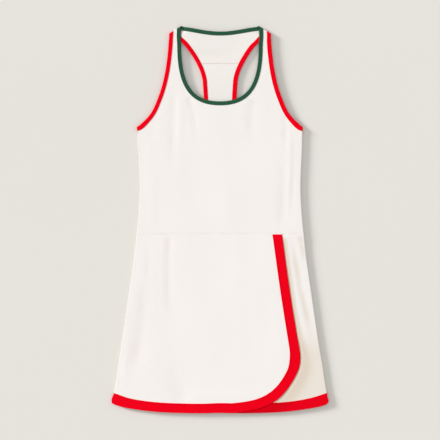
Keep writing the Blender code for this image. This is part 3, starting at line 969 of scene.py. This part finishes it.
# how far the panels' edges turn in towards their seams
def panelOut(points):
    behind = points[:, 2] > 0.5
    depth = np.where(behind, surface["waistDipBehind"], surface["waistDip"])
    out = sideDip(points) + seamDip(abs(points[:, 1] - garment["waist"]), depth)
    strap = abs(overShoulder(oneHand(points)) + garment["strapTurn"])
    yoke = np.minimum(abs(points[:, 1] - garment["yokeSeam"]), strap)
    return out + np.where(behind, seamDip(yoke, surface["dip"]), 0)


# close rows next to a seam
closeGaps = (0.0004, 0.0008, 0.0013, 0.0020)


def closeStart(line):
    along = (line[1] - line[0]).normalized()
    return [line[0], *[line[0] + gap * along for gap in closeGaps], *line[1:]]


def closeEnd(line):
    return closeStart(line[::-1])[::-1]


# The garment's edges, this far into the cloth
count = {
    "side": 68,
    "arm": 96,
    "scoop": 64,
    "racer": 36,
    "yoke": 40,
    "yokeSeam": 14,
    "neck": 76,
    "backNeck": 40,
    "turn": 3,
    "hem": 72,
    "bodice": 52,
    "racerAcross": 14,
    "yokeAcross": 20,
    "skirt": 112,
    "wrapHem": 120,
    "wrapCorner": 32,
    "wrapStraight": 84,
    "under": 92,
}


# its end that rolls round the side
def rolledEnd(line):
    return rollStations(between(line, (pastSide, sideSeam), (pastSide, 0)))


def frontArmholeEdge(distance):
    line = inset(frontArmhole, distance, armWide)
    flat = between(line, (pastSide, 0), (pastFold, 0))
    return chain(rolledEnd(line), stations(flat, count["arm"]))


# its scoop, its racer edge, its yoke edge and its end beside the fold
def backArmholeEdge(distance):
    line = inset(backArmhole, distance)
    turnStart = -garment["strapTurn"]
    scoop = between(line, (pastSide, 0), (heightOf, garment["racerFoot"]))
    side = between(line, (heightOf, garment["racerFoot"]), (heightOf, garment["yokeSeam"]))
    yoke = between(line, (heightOf, garment["yokeSeam"]), (pastFold, turnStart))
    turn = between(line, (pastFold, turnStart), (pastFold, 0))
    lower = chain(rolledEnd(line), stations(scoop, count["scoop"]))
    return lower, stations(side, count["racer"]), stations(yoke, count["yoke"]), stations(turn, count["turn"])


def frontNeckEdge(distance):
    return stations(between(inset(frontNeck, distance), (pastFold, 0), (acrossOf, 0)), count["neck"])


def backNeckEdge(distance):
    line = between(inset(backNeck, distance), (pastFold, 0), (acrossOf, 0))
    turn, rest = cut(line, pastFold, -garment["strapTurn"])
    return stations(turn, count["turn"]), stations(rest, count["backNeck"])


def armholeEdge(distance):
    front = frontArmholeEdge(distance)
    behind = chain(*backArmholeEdge(distance))[::-1]
    return chain(front, overFold(front[-1], behind[0]), behind)


def neckEdge(distance):
    front = frontNeckEdge(distance)[::-1]
    behind = chain(*backNeckEdge(distance))
    return chain(front, overFold(front[-1], behind[0]), behind)


def wrapEdge(distance):
    line = inset(wrapOutline, distance, (*wrapWide, *hemWide))
    hem = between(line, (pastSide, 0), (roundCorner, cornerMiddle))
    corner = between(line, (roundCorner, cornerMiddle), (heightOf, straightFoot))
    straight = between(line, (heightOf, straightFoot), (heightOf, garment["waist"] - garment["seamGap"] / 2))
    foot = chain(rolledEnd(line), stations(hem, count["wrapHem"]))
    return foot, chain(stations(corner, count["wrapCorner"]), stations(straight, count["wrapStraight"]))


def underEdge(distance):
    line = inset(hemLine(garment["pastHem"], under["end"] - under["runOn"], 0), -distance, hemWide)
    flat = between(line, (pastSide, 0), (acrossOf, under["end"]))
    return chain(rolledEnd(line), stations(flat, count["under"]))


def backHemEdge(distance):
    line = inset(hemLine(garment["pastHem"], 0.0, 1), -distance, hemWide)
    return chain(rolledEnd(line), stations(cut(line, pastSide, 0)[1], count["hem"]))


# Panels
binding = {"width": 0.0088, "stitchRows": (0.0077,), "rightWidth": 1.14, "leftWidth": 1.05}
band = {"width": 0.0214, "stitchRows": (0.0202, 0.0180)}
bodice = {"middle": 0.5850, "turnShares": (0.35, 0.6, 0.75, 0.86, 0.93)}
panelEdge = binding["width"] - garment["tuck"]
panelHem = band["width"] - garment["tuck"]
waistTop = garment["waist"] + garment["seamGap"] / 2
waistFoot = garment["waist"] - garment["seamGap"] / 2


def dressShape(points):
    behind = points[:, 2] > 0.5
    rise, paintedShade = frontShape(points)
    rise += trimRipples(points) * edgeFade(points)
    lift, _ = backShape(points)
    return np.where(behind, lift, rise), np.where(behind, 0, paintedShade)


def makeFrontBodice():
    arm, neck = frontArmholeEdge(panelEdge), frontNeckEdge(panelEdge)[::-1]
    side = sideLine(waistTop, arm[0].y, 0, count["side"])
    outer = chain(closeStart(side), arm)
    foot, middle, head = (Vector((0, height, 0)) for height in (waistTop, bodice["middle"], neck[0].y))
    upper = len(arm) - len(neck)
    inner = chain(closeStart(levelLine(foot, middle, count["side"])), levelLine(middle, head, upper), neck)
    backTurn, neckTurn = backArmholeEdge(panelEdge)[-1], backNeckEdge(panelEdge)[0]
    outer = chain(outer, overFold(outer[-1], backTurn[-1]))
    inner = chain(inner, overFold(inner[-1], neckTurn[0]))
    ends = 1 - garment["seamGap"] / 2 / garment["strapTurn"]
    for share in (*bodice["turnShares"], ends):
        outer.append(backTurn[-1].lerp(backTurn[0], share))
        inner.append(neckTurn[0].lerp(neckTurn[-1], share))
    bottom = rollRow(outer[0], inner[0], count["bodice"])
    rows = rowsBetween(outer, inner, bottom)
    return laySheet("front_bodice_knit", [rows], bodiceKnit, dressShape, (1, -1))


def makeBackBodice():
    lower, side, _, _ = backArmholeEdge(panelEdge)
    side = closeEnd([*side[:-1], side[-1] - Vector((0, garment["seamGap"] / 2, 0))])
    foot, head = Vector((0, garment["racerFoot"], 1)), Vector((0, side[-1].y, 1))
    outer = closeStart(sideLine(waistTop, lower[0].y, 1, count["side"]))
    inner = closeStart(levelLine(Vector((0, waistTop, 1)), foot, count["side"]))
    racerFoot = levelLine(side[0], foot, count["racerAcross"])
    bottom = rollRow(outer[0], inner[0], count["scoop"] + count["racerAcross"])
    middle = closeEnd(levelLine(foot, head, count["racer"]))
    blocks = [
        rowsBetween(outer, inner, bottom, chain(lower, racerFoot)),
        stripRows(side, middle, count["racerAcross"]),
    ]
    return laySheet("back_bodice_knit", blocks, insideKnit, backShape, (1, -1))


def makeBackYoke():
    edge, neck = backArmholeEdge(panelEdge)[2], backNeckEdge(panelEdge)[1]
    half = garment["seamGap"] / 2
    edge = [edge[0] + Vector((0, half, 0)), *edge[1:]]
    seam = levelLine(Vector((0, garment["yokeSeam"] + half, 1)), edge[0], count["yokeSeam"])
    inner = chain(seam, closeEnd(edge))
    outer = closeEnd(stations(neck, len(inner) - 1 - len(closeGaps))[::-1])
    shift = half * (outer[-1] - outer[-2]).normalized()
    outer[-1], inner[-1] = outer[-1] - shift, inner[-1] - shift
    rows = [closeStart(levelLine(start, end, count["yokeAcross"])) for start, end in zip(inner, outer)]
    return laySheet("back_yoke_knit", [rows], insideKnit, backShape, (1, -1))


# rows from a hem edge up to the waist, from the right side inwards to this end
def skirtRows(bottom, end):
    layer = bottom[0].z
    outer = closeEnd(sideLine(bottom[0].y, waistFoot, layer, count["skirt"]))
    inner = closeEnd(levelLine(bottom[-1], Vector((end, waistFoot, layer)), count["skirt"]))
    return rowsBetween(outer, inner, bottom)


def makeBackSkirt():
    rows = skirtRows(backHemEdge(panelHem), 0)
    return laySheet("back_skirt_knit", [rows], skirtKnit, backShape, (1, -1))


def makeSkirtWrap():
    bottom, inner = wrapEdge(panelHem)
    outer = closeEnd(sideLine(bottom[0].y, waistFoot, 0, len(inner) - 1, hand=-1))
    rows = rowsBetween(outer, closeEnd(inner), bottom)
    return laySheet("skirt_wrap_knit", [rows], skirtKnit, wrapShape)


def makeSkirtUnder():
    rows = skirtRows(underEdge(panelHem), under["end"])
    return laySheet("skirt_under_knit", [rows], skirtKnit, underShape)


# Trims: a strip folded over the panel's edge, in steps of (distance into the cloth, distance off its middle)
bindingLeg = (
    (0.0088, 0.00070),
    (0.0081, 0.00074),
    (0.0066, 0.00074),
    (0.0055, 0.00074),
    (0.0050, 0.00066),
    (0.0045, 0.00074),
    (0.0030, 0.00074),
    (0.0016, 0.00074),
    (0.0008, 0.00073),
    (0.0003, 0.00069),
    (0.0001, 0.00050),
)
bandLeg = (
    (0.0214, 0.00070),
    (0.0207, 0.00074),
    (0.0191, 0.00069),
    (0.0175, 0.00074),
    (0.0140, 0.00076),
    (0.0105, 0.00076),
    (0.0070, 0.00076),
    (0.0038, 0.00075),
    (0.0016, 0.00074),
    (0.0008, 0.00073),
    (0.0003, 0.00069),
    (0.0001, 0.00050),
)
stripWall = 0.00030


def makeTrim(name, edge, leg, material, shape, hands=(1,)):
    profile = [*leg, (0.0, 0.0), *[(distance, -off) for distance, off in leg[::-1]]]
    lines = {distance: edge(distance) for distance, _ in profile}
    rows = [list(row) for row in zip(*(lines[distance] for distance, _ in profile))]
    along = np.concatenate([[0], np.cumsum([(b - a).length for a, b in zip(lines[0.0], lines[0.0][1:])])])
    around = np.concatenate([[0], np.cumsum([math.dist(a, b) for a, b in zip(profile, profile[1:])])])
    outs = np.tile([off for _, off in profile], len(rows))
    uvs = np.stack([np.repeat(along, len(profile)), np.tile(around, len(rows))], 1)
    return laySheet(name, [rows], material, shape, hands, stripWall, outs, uvs)


stitch = {
    "length": 0.0026,
    "gap": 0.0007,
    "radius": 0.00017,
    "step": 0.00065,
    "raised": 0.00097,
    "bow": 1.6,  # how much higher a stitch lies than a gap, in radii
    "sunk": 1.2,
    "bowEnds": 2.2,
    "sides": 4,
}


# runs of thread along a trim, one tube for each stitch row, dipping between the stitches
def makeStitches(name, edge, distances, material, shape, hands=(1,)):
    thread = bmesh.new()
    pitch = stitch["length"] + stitch["gap"]
    for distance in distances:
        line = edge(distance)
        path = stations(line, round(lengthOf(line) / stitch["step"]))
        spots = np.array([list(spot) for spot in path])
        walked = np.arange(len(path)) * lengthOf(line) / (len(path) - 1)
        phase = walked / pitch % 1
        bow = np.sin(math.pi * np.clip(phase * pitch / stitch["length"], 0, 1))
        bow = np.clip(stitch["bowEnds"] * bow, 0, 1)
        for hand in hands:
            mirrored = spots * np.array([hand, 1, 1])
            rise, _ = shape(mirrored)
            out = stitch["raised"] + stitch["radius"] * (stitch["bow"] * bow - stitch["sunk"])
            centre = layPoints(mirrored, out, rise)
            up = (centre - layPoints(mirrored, out - stitch["radius"], rise)) / stitch["radius"]
            ahead = np.gradient(centre, axis=0)
            ahead /= np.linalg.norm(ahead, axis=1)[:, None]
            aside = np.cross(ahead, up)
            radius = np.full(len(centre), stitch["radius"])
            radius[[0, -1]] = 0
            sides = stitch["sides"]
            made = bmesh.ops.create_grid(thread, x_segments=sides, y_segments=len(centre) - 1, size=1)
            for index, vert in enumerate(made["verts"]):
                ring, corner = divmod(index, sides + 1)
                turn = corner % sides * 2 * math.pi / sides
                around = math.cos(turn) * aside[ring] + math.sin(turn) * up[ring]
                vert.co = centre[ring] + radius[ring] * around
    bmesh.ops.remove_doubles(thread, verts=thread.verts, dist=0.000005)
    bmesh.ops.recalc_face_normals(thread, faces=thread.faces)
    return addPiece(name, thread, material)


def declare(piece, node, stitches=()):
    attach(piece, "root")
    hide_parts(node)
    for run in stitches:
        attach(run, "root")
    print("made", piece.name)


# piece, node, width, length and area of the flat cut, and what it rests on
panels = (
    (makeBackSkirt, "back_skirt", (0.490, 0.395), 0.1630, ["floor"]),
    (makeBackBodice, "back_bodice", (0.386, 0.387), 0.0930, ["floor"]),
    (makeBackYoke, "back_yoke", (0.182, 0.082), 0.0107, ["floor"]),
    (makeSkirtUnder, "skirt_under", (0.290, 0.396), 0.0985, ["back_skirt_knit"]),
    (makeSkirtWrap, "skirt_wrap", (0.430, 0.388), 0.1345, ["skirt_under_knit", "back_skirt_knit"]),
    (makeFrontBodice, "front_bodice", (0.386, 0.460), 0.1180, ["back_bodice_knit"]),
)
for make, node, flat, area, rests in panels:
    declare(make(), node)


def wholeWrapEdge(distance):
    return chain(*wrapEdge(distance))


# the armhole bindings are drawn on wider than the neck's, and the right one wider than the left
def rightArmhole(distance):
    return armholeEdge(binding["rightWidth"] * distance)


def leftArmhole(distance):
    return armholeEdge(binding["leftWidth"] * distance)


redBand = (bandLeg, band["stitchRows"], redRib, redThread, "red_rib")
redBinding = (bindingLeg, binding["stitchRows"], redRib, redThread, "red_rib")
greenBinding = (bindingLeg, binding["stitchRows"], greenRib, greenThread, "green_rib")
onSkirt, onBodice = ["skirt_under_knit", "under_rib"], ["front_bodice_knit", "back_bodice_knit"]
onNeck = ["front_bodice_knit", "back_yoke_knit"]
# node, kind, edge, shape, hands, width and length of the flat strip, and what it rests on
trims = (
    ("back_hem_band", redBand, backHemEdge, backShape, (1, -1), (0.044, 0.490), ["floor"]),
    ("under_band", redBand, underEdge, underShape, (1,), (0.044, 0.290), ["back_hem_rib"]),
    ("wrap_band", redBand, wholeWrapEdge, wrapShape, (1,), (0.044, 0.750), onSkirt),
    ("armhole_binding_right", redBinding, rightArmhole, dressShape, (1,), (0.0210, 0.650), onBodice),
    ("armhole_binding_left", redBinding, leftArmhole, dressShape, (-1,), (0.0194, 0.650), onBodice),
    ("neck_binding", greenBinding, neckEdge, dressShape, (1, -1), (0.0190, 0.640), onNeck),
)
for node, (leg, stitchRows, ribKnit, thread, slot), edge, shape, hands, flat, rests in trims:
    name = node.replace("_band", "").replace("_binding", "")
    strip = makeTrim(f"{name}_rib", edge, leg, ribKnit, shape, hands)
    run = makeStitches(f"{name}_stitches", edge, stitchRows, thread, shape, hands)
    declare(strip, node, stitches=[run])


# Floor
ground = {
    "pale": (0.752, 0.731, 0.681, 1),
    "shade": (0.742, 0.720, 0.670, 1),
    "tone": 3.0,
    "detail": 4.0,
    "roughness": 0.95,
    "half": 3,
}
floorPaint, tree, shader = newMaterial("floorPaint", ground["roughness"])
objectTone(tree, shader, ground["pale"], ground["shade"], ground["tone"], ground["detail"])
plane = bmesh.new()
bmesh.ops.create_grid(plane, x_segments=4, y_segments=4, size=ground["half"])
floor = addPiece("floor", plane, floorPaint)

# Light and camera
light = {
    "sky": (1.0, 1.0, 1.0, 1),
    "skyStrength": 0.72,
    "sun": 4.76,
    "sunAngle": 11.5,
    "elevation": 13,
    "from": (-0.912, 0.410),
}
world = bpy.data.worlds.new("studio")
world.use_nodes = True
sky = world.node_tree.nodes["Background"]
sky.inputs[0].default_value = light["sky"]
sky.inputs[1].default_value = light["skyStrength"]
scene.world = world

sunData = bpy.data.lights.new("windowLight", "SUN")
sunData.energy = light["sun"]
sunData.angle = math.radians(light["sunAngle"])
sun = bpy.data.objects.new("windowLight", sunData)
elevation = math.radians(light["elevation"])
toSun = math.cos(elevation) * Vector((*light["from"], math.tan(elevation)))
sun.rotation_euler = (-toSun).to_track_quat("-Z", "Y").to_euler()
scene.collection.objects.link(sun)

view = {"lens": 100, "sensor": 36, "place": (0, -0.0010, 2.7556)}
cameraData = bpy.data.cameras.new("camera")
cameraData.lens = view["lens"]
cameraData.sensor_width = view["sensor"]
camera = bpy.data.objects.new("camera", cameraData)
camera.location = view["place"]
scene.collection.objects.link(camera)
scene.camera = camera
scene.view_settings.view_transform = "Standard"
print("floor, light and camera placed")

bpy.context.view_layer.update()
